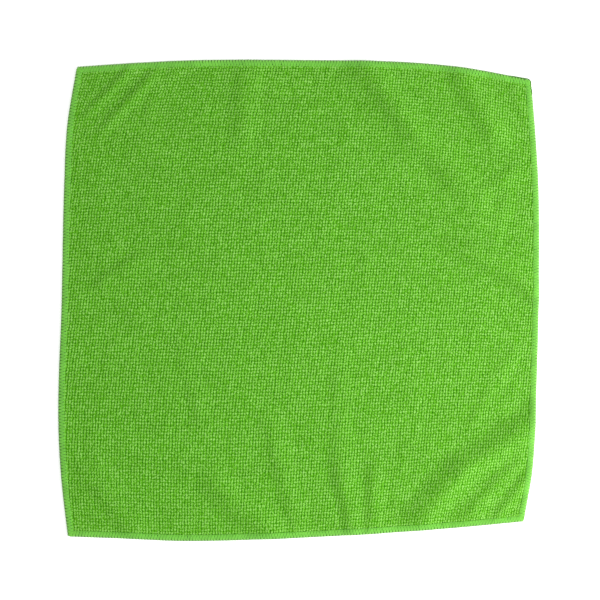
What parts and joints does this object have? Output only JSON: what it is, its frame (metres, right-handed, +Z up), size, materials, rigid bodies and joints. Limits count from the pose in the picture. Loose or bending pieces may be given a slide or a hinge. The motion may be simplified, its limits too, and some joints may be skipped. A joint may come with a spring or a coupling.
{
  "type": "microfibre cloth",
  "caption": "Square microfibre cloth lying flat with soft creases: short looped pile on both faces, drawn-in corners and overlocked edges.",
  "frame": {"origin": "centre of the footprint's bounding box, on the surface that the cloth lies on", "axes": "+Z up off the surface, +X to the right and +Y to the top, seen from above"},
  "size_m": [0.3002, 0.3004, 0.0074],
  "materials": {
    "microfibre": "short looped pile, matt with a faint sheen",
    "edging_thread": "soft bulked thread, slightly brighter than the cloth"
  },
  "bodies": {
    "root": {"cloth_panel": "microfibre", "edging_top": "edging_thread", "edging_right": "edging_thread", "edging_bottom": "edging_thread", "edging_left": "edging_thread"}
  },
  "joints": []
}
